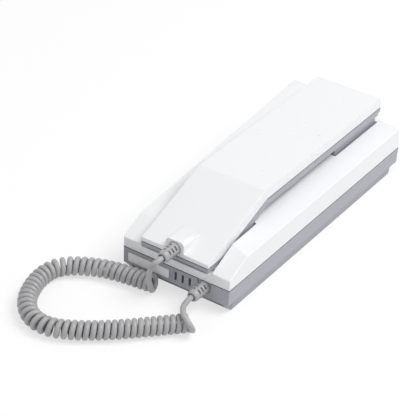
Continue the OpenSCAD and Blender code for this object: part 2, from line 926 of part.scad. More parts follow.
module inner_side_hollow() {
    t = shell_t;
    polygon([
        [handset_near + t, chin_z + over], [chin_y, chin_z + over], [band_bend, band_z + over],
        [handset_far - t, band_z + over], [handset_far - t, tip_z + t], [ear_far - t, tip_z + t],
        [ear_far - t, handle_z + t], [band_bend, handle_z + t],
        [mouth_back - t, handle_z + t - (band_bend - mouth_back + t) * slope], [mouth_back - t, mouth_z + t],
        [handset_near + t, mouth_z + t]
    ]);
}

// Strip of the inner shell's side view just below its parting line, longer than the shell by extra.
module seam_strip(extra) {
    polygon([
        [handset_near - extra, chin_z - seam_h], [chin_y, chin_z - seam_h], [band_bend, band_z - seam_h],
        [handset_far + extra, band_z - seam_h], [handset_far + extra, band_z + over],
        [band_bend, band_z + over],
        [chin_y, chin_z + over], [handset_near - extra, chin_z + over]
    ]);
}

module handset_inner_shell() {
    ear_floor = ear_z + shell_t;
    color(dark_grey)
        difference() {
            union() {
                difference() {
                    union() {
                        along_x(-handset_hw, handset_hw)
                            inner_side();
                        box([-ear_hw, ear_near, ear_z], [ear_hw, ear_far, handle_z + lap]);
                    }
                    along_x(-handset_hw + shell_t, handset_hw - shell_t)
                        inner_side_hollow();
                    box([-ear_hw + shell_t, ear_near + shell_t, ear_floor],
                        [ear_hw - shell_t, ear_far - shell_t, handle_z + shell_t + over]);
                    difference() {
                        along_x(-handset_hw - over, handset_hw + over)
                            seam_strip(over);
                        box([-handset_hw + seam_d, handset_near + seam_d, mouth_z],
                            [handset_hw - seam_d, handset_far - seam_d, top_z]);
                    }
                }
                for (y = handset_screw_ys)
                    column([0, y], pad_r, handle_z, handle_z + pad_h);
                difference() {
                    column([0, ear_y], receiver_r + slide_gap + rim_t, ear_floor - lap,
                        ear_floor + receiver_h);
                    column([0, ear_y], receiver_r + slide_gap, ear_z, ear_floor + receiver_h + over);
                }
            }
            for (y = handset_screw_ys) {
                column([0, y], small_head_r + hole_gap, handle_z - over, handle_z + small_head_h);
                column([0, y], small_screw_r + hole_gap, handle_z, handle_z + pad_h + over);
            }
            for (ring = [0:ear_hole_rings], i = [0:max(0, 6 * ring - 1)])
                translate([0, ear_y, 0])
                    rotate([0, 0, 60 * i / max(1, ring)])
                        column([ear_hole_pitch * ring, 0], sound_r, ear_z - over, ear_floor + over);
            for (i = [-1:1])
                column([i * mic_hole_pitch, mic_y], sound_r, mouth_z - over, mouth_z + shell_t + over);
        }
}

module handset_screws() {
    color(steel)
        for (y = handset_screw_ys)
            screw([0, y], handle_z, small_head_r, small_head_h, small_screw_r,
                pad_h + small_screw_l - small_head_h - 2 * screw_clear);
}

module receiver_gasket() {
    color("#303133")
        difference() {
            column([0, ear_y], receiver_r, ear_z + shell_t, ear_z + shell_t + gasket_t);
            column([0, ear_y], receiver_r - gasket_w, ear_z, ear_z + shell_t + gasket_t + over);
        }
}

module receiver_capsule() {
    low = ear_z + shell_t + gasket_t;
    color("#4a4c50") {
        column([0, ear_y], receiver_r, low, low + receiver_h - receiver_step);
        column([0, ear_y], receiver_back_r, low + receiver_h - receiver_step - lap, low + receiver_h);
    }
}

module microphone_boot() {
    low = mouth_z + shell_t;
    color("#303133")
        difference() {
            column([0, mic_y], mic_r + hole_gap + boot_t, low, low + boot_t + mic_h);
            column([0, mic_y], mic_r + hole_gap, low + boot_t, low + boot_t + mic_h + over);
            column([0, mic_y], boot_hole_r, low - over, low + boot_t + over);
        }
}

module microphone() {
    low = mouth_z + shell_t + boot_t;
    color("#b8b29a")
        column([0, mic_y], mic_r, low, low + mic_h);
}

module handset_ballast() {
    color(steel)
        translate([0, mouth_back - shell_t - ballast_room, mouth_z + shell_t])
            box([-ballast_w / 2, -ballast_l, 0], [ballast_w / 2, 0, ballast_h]);
}

// Smooth curve through four neighbouring points, from the second to the third.
function bend(a, b, c, d, t) =
    0.5 * (2 * b + (c - a) * t + (2 * a - 5 * b + 4 * c - d) * t * t + (3 * b - a - 3 * c + d) * t * t * t);

function curve(p, steps) = [for (i = [1:len(p) - 3], k = [0:steps - 1])
    bend(p[i - 1], p[i], p[i + 1], p[i + 2], k / steps)];

function with_ends(p) = concat([2 * p[0] - p[1]], p, [2 * p[len(p) - 1] - p[len(p) - 2]]);

function lengths(p) = [for (i = 0, s = 0; i < len(p);
    i = i + 1, s = s + (i < len(p) ? norm(p[i] - p[i - 1]) : 0)) s];

// Curl line, measured along its length.
line_pins = from_near(curl_line);
line = concat(curve(with_ends(line_pins), spline_steps), [line_pins[len(line_pins) - 1]]);
line_s = lengths(line);
line_l = line_s[len(line_s) - 1];
line_x = [for (i = [0:len(line) - 1]) [line_s[i], line[i][0]]];
line_y = [for (i = [0:len(line) - 1]) [line_s[i], line[i][1]]];
line_z = [for (i = [0:len(line) - 1]) [line_s[i], line[i][2]]];

function line_at(s) = [lookup(s, line_x), lookup(s, line_y), lookup(s, line_z)];
function line_dir(s) = unit(line_at(min(s + 1, line_l)) - line_at(max(s - 1, 0)));

// Length along the inside of the bend at each of the line's pins.
curl_r = (curl_d - cord_d) / 2;
last_pin = len(line_pins) - 1;
function turn_at(i) = i <= 0 || i >= last_pin ? 0
    : acos(min(1, unit(line_pins[i] - line_pins[i - 1]) * unit(line_pins[i + 1] - line_pins[i]))) * PI / 180;
pin_s = [for (i = [0:last_pin]) line_s[i * spline_steps]];
inside_s = [for (i = 0, a = 0; i <= last_pin; i = i + 1, a = a + (turn_at(i - 1) + turn_at(i)) / 2)
    pin_s[i] - curl_r * a];
spacing = [for (i = [0:last_pin]) [inside_s[i], pin_s[i]]];

// Place of a ring along the line: k counts rings from the handset's end, evenly spaced on the inside.
curl_rings = curls * rings_per_curl + end_rings;
function ring_s(k) = lookup(k / curl_rings * inside_s[last_pin], spacing);

function curl_point(k) =
    let (s = ring_s(k), ahead = line_dir(s), side = unit(cross(ahead, [0, 0, 1])))
    let (a = first_angle - 360 * k / rings_per_curl)
    line_at(s) + curl_r * (cos(a) * cross(side, ahead) + sin(a) * side);

// Points along the whole cord, from the handset's outlet to the base's.
out = [0, -1, 0];
handset_out = handset_root + out * (relief_l - outlet_d);
base_out = base_root + out * (relief_l - outlet_d);
straight = out * (outlet_d + cord_d);
curl_points = [for (k = [0:curl_rings]) curl_point(k)];
lead_a = concat([handset_out, handset_out + straight], from_near(handset_lead),
    [curl_points[0], curl_points[1]]);
lead_b = concat([curl_points[curl_rings - 1], curl_points[curl_rings]], from_near(base_lead),
    [base_out + straight, base_out]);
curve_b = curve(lead_b, lead_steps);
cord_points = concat([handset_out], curve(lead_a, lead_steps), curl_points,
    [for (i = [1:len(curve_b) - 1]) curve_b[i]], [base_out + straight, base_out]);

function tangent(p, i, first, last) = i == 0 ? first : i == len(p) - 1 ? last : unit(p[i + 1] - p[i - 1]);
function square_to(v, t) = unit(v - (v * t) * t);
function any_square(t) = square_to(abs(t[2]) < 0.8 ? [0, 0, 1] : [1, 0, 0], t);

// Round tube along points, closed at both ends, with faces square to first and last.
module tube(p, r, first, last) {
    n = len(p);
    across = [for (i = 0, v = any_square(first); i < n;
        i = i + 1, v = square_to(v, i < n ? tangent(p, i, first, last) : last)) v];
    rings = [for (i = [0:n - 1], j = [0:cord_sides - 1])
        let (t = tangent(p, i, first, last), a = 360 * j / cord_sides)
        p[i] + r * (cos(a) * across[i] + sin(a) * cross(t, across[i]))];
    sides = [for (i = [0:n - 2], j = [0:cord_sides - 1])
        let (a = i * cord_sides + j, b = i * cord_sides + (j + 1) % cord_sides)
        each [[a, a + cord_sides, b], [b, a + cord_sides, b + cord_sides]]];
    caps = [for (j = [1:cord_sides - 2])
        let (e = (n - 1) * cord_sides)
        each [[0, j, j + 1], [e, e + j + 1, e + j]]];
    polyhedron(points = rings, faces = concat(sides, caps));
}

module curly_cord() {
    n = len(cord_points);
    along = lengths(cord_points);
    near = [for (i = [0:n - 1], j = [i + 1:n - 1])
        if (along[j] - along[i] > own_length) norm(cord_points[i] - cord_points[j])];
    lowest = min([for (q = cord_points) q[2]]) - cord_d / 2;
    echo(least_cord_gap = min(near) - cord_d, cord_length = along[n - 1], lowest = lowest);
    color(grey)
        tube(cord_points, cord_d / 2, out, -out);
}

rear_case();
front_cover();
case_screws();
rating_label();
circuit_board();
board_screws();
terminal_block();
terminal_screws();
call_buzzer();
hook_lever();
hook_pin();
hook_spring();
hook_switch();
hook_plunger();
door_button();
door_switch();
volume_switch();
volume_knob();
base_relief();
curly_cord();
handset_outer_shell();
handset_inner_shell();
handset_screws();
receiver_capsule();
receiver_gasket();
microphone();
microphone_boot();
handset_ballast();
handset_relief();
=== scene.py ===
import math

import bmesh
import bpy
import numpy as np
from mathutils import Matrix, Quaternion, Vector


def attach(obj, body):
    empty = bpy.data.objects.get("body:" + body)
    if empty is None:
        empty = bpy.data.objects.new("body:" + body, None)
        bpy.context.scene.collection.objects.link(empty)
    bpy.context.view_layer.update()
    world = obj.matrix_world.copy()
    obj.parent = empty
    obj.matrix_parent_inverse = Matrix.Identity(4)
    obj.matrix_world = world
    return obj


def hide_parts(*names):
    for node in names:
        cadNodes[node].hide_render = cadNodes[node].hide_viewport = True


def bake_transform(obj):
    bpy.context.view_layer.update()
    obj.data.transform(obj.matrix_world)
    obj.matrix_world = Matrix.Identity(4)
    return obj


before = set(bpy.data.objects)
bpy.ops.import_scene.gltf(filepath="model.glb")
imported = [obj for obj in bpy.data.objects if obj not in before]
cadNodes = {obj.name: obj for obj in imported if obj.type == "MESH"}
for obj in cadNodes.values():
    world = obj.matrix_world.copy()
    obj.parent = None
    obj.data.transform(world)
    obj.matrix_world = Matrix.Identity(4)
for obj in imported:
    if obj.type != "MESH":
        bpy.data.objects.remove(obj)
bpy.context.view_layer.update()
scene = bpy.context.scene
scene.view_settings.view_transform = "Standard"
mm = 0.001
print("frame loaded,", len(cadNodes), "nodes")

# camera, at the photo's viewing angle
photoView = {
    "azimuth": 32.20, "elevation": 33.52, "roll": 3.25,
    "distance": 1.1353, "target": (-0.0201, -0.0414, 0.0200),
    "lens": 151.2, "sensor": 36.0, "clip": (0.05, 50),
}


def makeCamera(view):
    az, el = math.radians(view["azimuth"]), math.radians(view["elevation"])
    away = Vector((math.sin(az) * math.cos(el), -math.cos(az) * math.cos(el), math.sin(el)))
    data = bpy.data.cameras.new("photoCamera")
    data.lens, data.sensor_width = view["lens"], view["sensor"]
    data.clip_start, data.clip_end = view["clip"]
    camera = bpy.data.objects.new("photoCamera", data)
    camera.location = Vector(view["target"]) + away * view["distance"]
    camera.rotation_mode = "QUATERNION"
    turn = Quaternion((0, 0, 1), math.radians(view["roll"]))
    camera.rotation_quaternion = (-away).to_track_quat("-Z", "Y") @ turn
    scene.collection.objects.link(camera)
    scene.camera = camera


makeCamera(photoView)
print("camera placed")


# shader helpers
noiseSpan = (0.3, 0.7)  # where most of a noise's values lie
mixSockets = {"factor": 0, "under": 6, "over": 7, "colour": 2}  # of a Mix node set to colours


def newMaterial(name):
    material = bpy.data.materials.new(name)
    material.use_nodes = True
    tree = material.node_tree
    return material, tree, tree.nodes["Principled BSDF"]


def addNode(tree, kind, values=None, **settings):
    node = tree.nodes.new(kind)
    for key, value in settings.items():
        setattr(node, key, value)
    for key, value in (values or {}).items():
        node.inputs[key].default_value = value
    return node


def noiseOn(tree, vector, scale, detail=2.0, roughness=0.5):
    node = addNode(tree, "ShaderNodeTexNoise", {"Scale": scale, "Detail": detail, "Roughness": roughness})
    tree.links.new(vector, node.inputs["Vector"])
    return node.outputs["Fac"]


def tonesOn(tree, noise, low, high):
    node = addNode(tree, "ShaderNodeValToRGB")
    for element, place, colour in zip(node.color_ramp.elements, noiseSpan, (low, high)):
        element.position = place
        element.color = (*colour, 1)
    tree.links.new(noise, node.inputs["Fac"])
    return node.outputs["Color"]


def spreadOn(tree, factor, low, high, span=noiseSpan):
    node = addNode(tree, "ShaderNodeMapRange", {
        "From Min": span[0], "From Max": span[1], "To Min": low, "To Max": high})
    tree.links.new(factor, node.inputs["Value"])
    return node.outputs["Result"]


def glossOn(tree, noise, look):
    low, high = look["roughness"] - look["glossDrift"], look["roughness"] + look["glossDrift"]
    return spreadOn(tree, noise, low, high)


def bumpOn(tree, height, strength, distance, under=None):
    node = addNode(tree, "ShaderNodeBump", {"Strength": strength, "Distance": distance})
    tree.links.new(height, node.inputs["Height"])
    if under is not None:
        tree.links.new(under, node.inputs["Normal"])
    return node.outputs["Normal"]


def shade(colour, factor):
    return tuple(min(1.0, c * factor) for c in colour)


def mixOn(tree, factor, under, over):
    node = addNode(tree, "ShaderNodeMix", data_type="RGBA", blend_type="MIX")
    node.inputs[mixSockets["over"]].default_value = (*over, 1)
    tree.links.new(factor, node.inputs[mixSockets["factor"]])
    tree.links.new(under, node.inputs[mixSockets["under"]])
    return node.outputs[mixSockets["colour"]]


# 1 below a height up the piece and 0 above it, in millimetres
def belowOn(tree, place, height, fade=0.1):
    split = addNode(tree, "ShaderNodeSeparateXYZ")
    tree.links.new(place, split.inputs["Vector"])
    return spreadOn(tree, split.outputs["Z"], 1, 0, ((height - fade) * mm, height * mm))


# moulded plastic: slow drift of the colour, spark-eroded grain, gloss that varies, edges rubbed smoother,
# painted shade down in the shadow gaps, a slightly darker tone in the gate dimple and, where the look has
# one, painted shade on the foot
def mouldedPlastic(name, look):
    material, tree, shader = newMaterial(name)
    place = addNode(tree, "ShaderNodeTexCoord").outputs["Object"]
    drift = noiseOn(tree, place, look["driftScale"], detail=3)
    body = tonesOn(tree, drift, shade(look["colour"], 1 - look["drift"]), look["colour"])
    rubbed = addNode(tree, "ShaderNodeAttribute", attribute_name="edgeRub").outputs["Fac"]
    colour = mixOn(tree, rubbed, body, shade(look["colour"], look["edgeTint"]))
    # painted shade: the plinth is darker below the foot's top, where it faces down near the floor
    if "paintedFootShadeTop" in look:
        paintedFootShade = belowOn(tree, place, look["paintedFootShadeTop"])
        colour = mixOn(tree, paintedFootShade, colour, shade(look["colour"], look["paintedFootShadeTone"]))
    # painted shade down in the shadow gaps, and a slightly darker tone on the gate dimple's floor, read from
    # a face attribute
    gap = addNode(tree, "ShaderNodeAttribute", attribute_name="gapShade").outputs["Fac"]
    colour = mixOn(tree, gap, colour, shade(look["colour"], look["gapTone"]))
    tree.links.new(colour, shader.inputs["Base Color"])
    patches = noiseOn(tree, place, look["glossScale"], detail=4)
    gloss = glossOn(tree, patches, look)
    worn = addNode(tree, "ShaderNodeMath", operation="MULTIPLY_ADD")
    worn.inputs[1].default_value = -look["edgePolish"]
    tree.links.new(rubbed, worn.inputs[0])
    tree.links.new(gloss, worn.inputs[2])
    tree.links.new(worn.outputs[0], shader.inputs["Roughness"])
    grain = noiseOn(tree, place, look["grainScale"], roughness=0.6)
    sinkage = noiseOn(tree, place, look["sinkScale"], detail=1)
    soft = bumpOn(tree, sinkage, look["sink"], look["sinkDepth"])
    tree.links.new(bumpOn(tree, grain, look["grain"], look["grainDepth"], soft), shader.inputs["Normal"])
    shader.inputs["IOR"].default_value = look["bending"]
    shader.inputs["Specular IOR Level"].default_value = look["specular"]
    return material


plasticBase = {
    "driftScale": 14, "drift": 0.025, "glossScale": 90, "glossDrift": 0.04, "bending": 1.52, "specular": 0.5,
    "grainScale": 2600, "grain": 0.12, "grainDepth": 0.00003,
    "sinkScale": 30, "sink": 0.01, "sinkDepth": 0.0004,
    "edgeTint": 1.0, "edgePolish": 0.08, "gapTone": 0.12,
}
greyBase = {**plasticBase, "colour": (0.386, 0.396, 0.442), "roughness": 0.42, "drift": 0.04}
plasticLooks = {
    "whitePlastic": {**plasticBase, "colour": (0.872, 0.88, 0.896), "roughness": 0.36, "grain": 0.03,
                     "drift": 0.012},
    "greyPlastic": {**greyBase, "paintedFootShadeTop": 6, "paintedFootShadeTone": 0.83},  # the rear case, with painted shade on its plinth
    "darkGreyPlastic": greyBase,
    "blackPlastic": {**plasticBase, "colour": (0.03, 0.03, 0.034), "roughness": 0.45, "edgeTint": 1.6},
    "redPlastic": {**plasticBase, "colour": (0.50, 0.06, 0.04), "roughness": 0.40},
    "greenPlastic": {**plasticBase, "colour": (0.08, 0.30, 0.18), "roughness": 0.42},
    "labelFilm": {**plasticBase, "colour": (0.96, 0.96, 0.965), "roughness": 0.5, "grainScale": 900,
                  "grain": 0.05, "drift": 0.03},
}


# soft jacket of the cord and the strain reliefs: fine extrusion marks along the length
def softVinyl(name, look):
    material, tree, shader = newMaterial(name)
    place = addNode(tree, "ShaderNodeTexCoord").outputs["Object"]
    run = addNode(tree, "ShaderNodeAttribute", attribute_name="alongCord").outputs["Vector"]
    blotch = noiseOn(tree, place, look["driftScale"], detail=3)
    colour = tonesOn(tree, blotch, shade(look["colour"], look["blotchTone"]), look["colour"])
    tree.links.new(colour, shader.inputs["Base Color"])
    marks = noiseOn(tree, run, look["markScale"])
    grain = noiseOn(tree, place, look["grainScale"])
    tree.links.new(glossOn(tree, grain, look), shader.inputs["Roughness"])
    ringed = bumpOn(tree, marks, look["marks"], look["markDepth"])
    tree.links.new(bumpOn(tree, grain, look["grain"], look["grainDepth"], ringed), shader.inputs["Normal"])
    shader.inputs["Specular IOR Level"].default_value = look["specular"]
    shader.inputs["Sheen Weight"].default_value = look["sheen"]
    return material


vinylBase = {
    "driftScale": 60, "blotchTone": 0.93, "markScale": 900, "markDepth": 0.00006, "grainDepth": 0.00003,
    "glossDrift": 0.05,
}
vinylLooks = {
    "greyVinyl": {**vinylBase, "colour": (0.425, 0.421, 0.43), "marks": 0.12, "grainScale": 1800,
                  "grain": 0.10, "roughness": 0.36, "specular": 0.5, "sheen": 0.0},
    "blackRubber": {**vinylBase, "colour": (0.03, 0.03, 0.03), "marks": 0.0, "grainScale": 1200,
                    "grain": 0.25, "roughness": 0.6, "specular": 0.4, "sheen": 0.1},
}


# plated or drawn metal: fine scratches one way and cloudy gloss
def platedMetal(name, look):
    material, tree, shader = newMaterial(name)
    place = addNode(tree, "ShaderNodeTexCoord").outputs["Object"]
    stretch = addNode(tree, "ShaderNodeMapping", {"Scale": look["stretch"]})
    tree.links.new(place, stretch.inputs["Vector"])
    scratch = noiseOn(tree, stretch.outputs["Vector"], look["scratchScale"], detail=3, roughness=0.6)
    cloud = noiseOn(tree, place, look["cloudScale"], detail=3)
    colour = tonesOn(tree, cloud, shade(look["colour"], look["cloudTone"]), look["colour"])
    tree.links.new(colour, shader.inputs["Base Color"])
    tree.links.new(glossOn(tree, scratch, look), shader.inputs["Roughness"])
    tree.links.new(bumpOn(tree, scratch, look["scratch"], look["scratchDepth"]), shader.inputs["Normal"])
    shader.inputs["Metallic"].default_value = 1.0
    return material


metalBase = {"cloudTone": 0.86, "glossDrift": 0.08, "scratch": 0.15, "scratchDepth": 0.00003}
metalLooks = {
    "zincSteel": {**metalBase, "colour": (0.62, 0.63, 0.65), "roughness": 0.34, "stretch": (1, 8, 1),
                  "scratchScale": 900, "cloudScale": 250},
    "capsuleMetal": {**metalBase, "colour": (0.66, 0.64, 0.56), "roughness": 0.38, "stretch": (1, 1, 8),
                     "scratchScale": 700, "cloudScale": 180},
}


# solder mask over copper tracks
def boardLaminate(name, look):
    material, tree, shader = newMaterial(name)
    place = addNode(tree, "ShaderNodeTexCoord").outputs["Object"]
    tracks = addNode(tree, "ShaderNodeTexBrick", {
        "Scale": look["trackScale"], "Mortar Size": look["trackWidth"], "Mortar Smooth": look["trackEdge"],
        "Color1": (*look["colour"], 1), "Color2": (*shade(look["colour"], look["fieldTone"]), 1),
        "Mortar": (*shade(look["colour"], look["trackTone"]), 1)})
    tree.links.new(place, tracks.inputs["Vector"])
    tree.links.new(tracks.outputs["Color"], shader.inputs["Base Color"])
    mottled = noiseOn(tree, place, look["mottleScale"], detail=3)
    tree.links.new(spreadOn(tree, mottled, *look["roughness"]), shader.inputs["Roughness"])
    raised = bumpOn(tree, tracks.outputs["Fac"], look["track"], look["trackDepth"])
    tree.links.new(raised, shader.inputs["Normal"])
    return material


boardLook = {
    "colour": (0.05, 0.20, 0.10), "fieldTone": 0.88, "trackScale": 160, "trackWidth": 0.06, "trackEdge": 0.2,
    "trackTone": 1.7, "track": 0.2, "trackDepth": 0.00005, "mottleScale": 300, "roughness": (0.26, 0.4),
}
finishes = {name: mouldedPlastic(name, look) for name, look in plasticLooks.items()}
finishes.update({name: softVinyl(name, look) for name, look in vinylLooks.items()})
finishes.update({name: platedMetal(name, look) for name, look in metalLooks.items()})
finishes["boardLaminate"] = boardLaminate("boardLaminate", boardLook)
print("materials made:", len(finishes))


# mesh and node-tree helpers
creases = {"swept": 50, "relief": 40, "turned": 35, "moulded": 32}  # degrees at which an edge shows
mergeWithin = {"swept": 1e-7, "moulded": 1e-6}  # metres


def addPiece(name, mesh, finish=None):
    piece = bpy.data.objects.new(name, mesh)
    scene.collection.objects.link(piece)
    if finish is not None:
        mesh.materials.clear()
        mesh.materials.append(finishes[finish])
    return piece


def plainMesh(piece):
    graph = bpy.context.evaluated_depsgraph_get()
    shaped = piece.evaluated_get(graph)
    done = bpy.data.meshes.new_from_object(shaped, preserve_all_data_layers=True, depsgraph=graph)
    piece.modifiers.clear()
    old = piece.data
    piece.data = done
    done.name = piece.name
    bpy.data.meshes.remove(old)


def shadeByAngle(mesh, degrees):
    mesh.shade_smooth()
    mesh.set_sharp_from_angle(angle=math.radians(degrees))


def newTree(name, inputs):
    tree = bpy.data.node_groups.new(name, "GeometryNodeTree")
    face = tree.interface
    face.new_socket("Geometry", in_out="INPUT", socket_type="NodeSocketGeometry")
    for label, kind in inputs:
        face.new_socket(label, in_out="INPUT", socket_type=kind)
    face.new_socket("Geometry", in_out="OUTPUT", socket_type="NodeSocketGeometry")
    return tree, tree.nodes.new("NodeGroupInput"), tree.nodes.new("NodeGroupOutput")


def runTree(piece, tree, values):
    modifier = piece.modifiers.new(tree.name, "NODES")
    modifier.node_group = tree
    for item in tree.interface.items_tree:
        if item.item_type == "SOCKET" and item.in_out == "INPUT" and item.name in values:
            modifier[item.identifier] = values[item.name]
    plainMesh(piece)


# round section swept along a line of points
def makeSweepTree():
    tree, given, result = newTree("roundSweep", [
        ("Radius", "NodeSocketFloat"), ("Sides", "NodeSocketInt"), ("Finish", "NodeSocketMaterial")])
    link = tree.links.new
    line = tree.nodes.new("GeometryNodeMeshToCurve")
    along = tree.nodes.new("GeometryNodeSplineParameter")
    mark = addNode(tree, "GeometryNodeStoreNamedAttribute", {"Name": "alongCord"},
                   data_type="FLOAT", domain="POINT")
    section = tree.nodes.new("GeometryNodeCurvePrimitiveCircle")
    sweep = addNode(tree, "GeometryNodeCurveToMesh", {"Fill Caps": True})
    smooth = tree.nodes.new("GeometryNodeSetShadeSmooth")
    real = tree.nodes.new("GeometryNodeRealizeInstances")
    paint = tree.nodes.new("GeometryNodeSetMaterial")
    link(given.outputs["Geometry"], line.inputs["Mesh"])
    link(line.outputs["Curve"], mark.inputs["Geometry"])
    link(along.outputs["Length"], mark.inputs["Value"])
    link(given.outputs["Sides"], section.inputs["Resolution"])
    link(given.outputs["Radius"], section.inputs["Radius"])
    link(mark.outputs["Geometry"], sweep.inputs["Curve"])
    link(section.outputs["Curve"], sweep.inputs["Profile Curve"])
    link(sweep.outputs["Mesh"], smooth.inputs["Geometry"])
    link(smooth.outputs["Geometry"], real.inputs["Geometry"])
    link(real.outputs["Geometry"], paint.inputs["Geometry"])
    link(given.outputs["Finish"], paint.inputs["Material"])
    link(paint.outputs["Geometry"], result.inputs["Geometry"])
    return tree


sweepTree = makeSweepTree()


def sweepPiece(name, points, radius, sides, finish):
    mesh = bpy.data.meshes.new(name)
    mesh.from_pydata([tuple(p) for p in points], [(i, i + 1) for i in range(len(points) - 1)], [])
    piece = addPiece(name, mesh)
    runTree(piece, sweepTree, {"Radius": radius, "Sides": sides, "Finish": finishes[finish]})
    bm = bmesh.new()
    bm.from_mesh(piece.data)
    bmesh.ops.remove_doubles(bm, verts=bm.verts, dist=mergeWithin["swept"])
    bmesh.ops.recalc_face_normals(bm, faces=bm.faces)
    bm.to_mesh(piece.data)
    bm.free()
    shadeByAngle(piece.data, creases["swept"])
    return piece


# curly cord on the route of the part's source, at the thickness that shows, in millimetres;
# the leads and the curls' middle line have Y counted from the near face
curlyCord = {
    "nearY": -107.0, "thickness": 3.6, "curlWidth": 12.5, "curls": 52, "ringsPerCurl": 8, "endRings": 3,
    "firstAngle": -95.0, "pointsPerRing": 3, "leadSteps": 12, "lineSteps": 24, "straightSteps": 4,
    "sides": 16, "spacing": 1.2, "kink": 0.45,
    "handsetOut": (0.0, -120.1, 34.2), "baseOut": (21.5, -118.1, 13.3), "straight": 5.8,
    "handsetLead": [(-1.5, -21.3, 32.5), (-3.5, -21.8, 28.5), (-6, -20, 22.5), (-8, -17.3, 15.5)],
    "curlLine": [
        (-9.5, -8.9, 7), (-17, -9.5, 6.5), (-25, -10.4, 6.4), (-34, -11.8, 6.4), (-43, -14.2, 6.4),
        (-51, -17.6, 6.4), (-58.5, -22, 6.4), (-64.5, -27.2, 6.4), (-68.5, -33.8, 6.4), (-69.8, -41.5, 6.4),
        (-69, -50.5, 6.4), (-66.5, -59, 6.4), (-63, -66.8, 6.4), (-58.2, -73.5, 6.4), (-52, -78.8, 6.4),
        (-44.5, -82, 6.4), (-37, -82.5, 6.4), (-30, -80.8, 6.4), (-22.5, -77, 6.4), (-13, -70.5, 6.4),
        (-4, -63, 6.4), (5, -54.4, 6.4), (13.5, -45.6, 6.4), (22, -36.5, 6.4), (30, -27.8, 6.4)],
    "baseLead": [(36, -32.8, 6.6), (35.2, -34.6, 10.6), (32, -34, 13.2), (29, -32.8, 14.5), (26.5, -30, 15),
                 (24, -25.8, 14.6), (22.3, -20.5, 13.7)],
    "handsetTip": (0.0, -122.6, 34.2), "baseTip": (21.5, -120.6, 13.3),  # where it leaves the strain reliefs
    "splitFrom": -66.0,  # the bend to the left of this X holds the split
    "liftFrom": -66.0, "liftTo": -6.0,  # between these the upper half goes over to the handset
}


# curve that passes through all its points but the first and the last
def smoothThrough(points, steps):
    points = np.asarray(points, float)
    rows = []
    for a, b, c, d in zip(points, points[1:], points[2:], points[3:]):
        for t in np.arange(steps) / steps:
            rows.append(0.5 * (2 * b + (c - a) * t + (2 * a - 5 * b + 4 * c - d) * t ** 2
                               + (3 * b - a - 3 * c + d) * t ** 3))
    return np.array(rows)


def alongLength(points):
    return np.concatenate([[0], np.cumsum(np.linalg.norm(np.diff(points, axis=0), axis=1))])


# the curls' steps are even along the inside of each bend, where they lie closest
def cordRoute(cord):
    near = np.array([0, cord["nearY"], 0])
    pins = np.asarray(cord["curlLine"], float) + near
    ends = np.vstack([2 * pins[0] - pins[1], pins, 2 * pins[-1] - pins[-2]])
    line = np.vstack([smoothThrough(ends, cord["lineSteps"]), pins[-1]])
    lineS = alongLength(line)
    total = lineS[-1]
    reach = (cord["curlWidth"] - cord["thickness"]) / 2
    pinS = lineS[::cord["lineSteps"]]
    chords = np.diff(pins, axis=0)
    chords /= np.linalg.norm(chords, axis=1)[:, None]
    turn = np.zeros(len(pins))
    turn[1:-1] = np.arccos(np.minimum(1, (chords[:-1] * chords[1:]).sum(axis=1)))
    insideS = pinS - reach * (np.cumsum(turn) - turn / 2)

    def lineAt(s):
        return np.stack([np.interp(s, lineS, line[:, i]) for i in range(3)], axis=-1)

    rings = cord["curls"] * cord["ringsPerCurl"] + cord["endRings"]
    k = np.arange(rings * cord["pointsPerRing"] + 1) / cord["pointsPerRing"]
    s = np.interp(k / rings * insideS[-1], insideS, pinS)
    ahead = lineAt(np.minimum(s + 1, total)) - lineAt(np.maximum(s - 1, 0))
    ahead /= np.linalg.norm(ahead, axis=1)[:, None]
    side = np.cross(ahead, [0, 0, 1])
    side /= np.linalg.norm(side, axis=1)[:, None]
    angle = np.radians(cord["firstAngle"] - 360 * k / cord["ringsPerCurl"])[:, None]
    curl = lineAt(s) + reach * (np.cos(angle) * np.cross(side, ahead) + np.sin(angle) * side)
    step = cord["pointsPerRing"]
    out = np.array([0, -cord["straight"], 0])
    handsetOut, baseOut = np.array(cord["handsetOut"]), np.array(cord["baseOut"])
    handsetLead, baseLead = np.asarray(cord["handsetLead"]) + near, np.asarray(cord["baseLead"]) + near
    leadA = np.vstack([handsetOut, handsetOut + out, handsetLead, curl[0], curl[step]])
    leadB = np.vstack([curl[-1 - step], curl[-1], baseLead, baseOut + out, baseOut])
    steps = cord["straightSteps"]
    runA = [handsetOut + out * i / steps for i in range(steps)]
    runB = [baseOut + out * (steps - i) / steps for i in range(steps + 1)]
    route = np.vstack([runA, smoothThrough(leadA, cord["leadSteps"]), curl,
                       smoothThrough(leadB, cord["leadSteps"])[1:], runB])
    return evenly(route, cord["spacing"], cord["kink"])


# points at one spacing, eased where the line still turns sharply
def evenly(route, spacing, sharpest):
    s = alongLength(route)
    count = int(round(s[-1] / spacing))
    even = np.stack([np.interp(np.linspace(0, s[-1], count + 1), s, route[:, i]) for i in range(3)], axis=-1)
    eased = even.copy()
    eased[1:-1] = (even[:-2] + 2 * even[1:-1] + even[2:]) / 4
    kink = np.linalg.norm(even[:-2] - 2 * even[1:-1] + even[2:], axis=1)
    rough = np.concatenate([[False], kink > sharpest, [False]])
    return np.where(rough[:, None], eased, even)


route = cordRoute(curlyCord) * mm
inBend = np.nonzero(route[:, 0] < curlyCord["splitFrom"] * mm)[0]
splitAt = int(inBend[len(inBend) // 2])
halves = {"curlyCordUpper": route[:splitAt + 1], "curlyCordLower": route[splitAt:]}
cordRadius = curlyCord["thickness"] / 2 * mm
cordPieces = {}
for name, points in halves.items():
    cordPieces[name] = sweepPiece(name, points, cordRadius, curlyCord["sides"], "greyVinyl")
    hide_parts("curly_cord")
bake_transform(cordPieces["curlyCordUpper"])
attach(cordPieces["curlyCordLower"], "base")
print("cord swept:", len(route), "points,", round(float(alongLength(route)[-1]), 3), "m")


# copies of the CAD mouldings with their edges rounded
rounding = {"flatWithin": 0.5, "normalWeight": 80, "rubbedTo": 1.2}


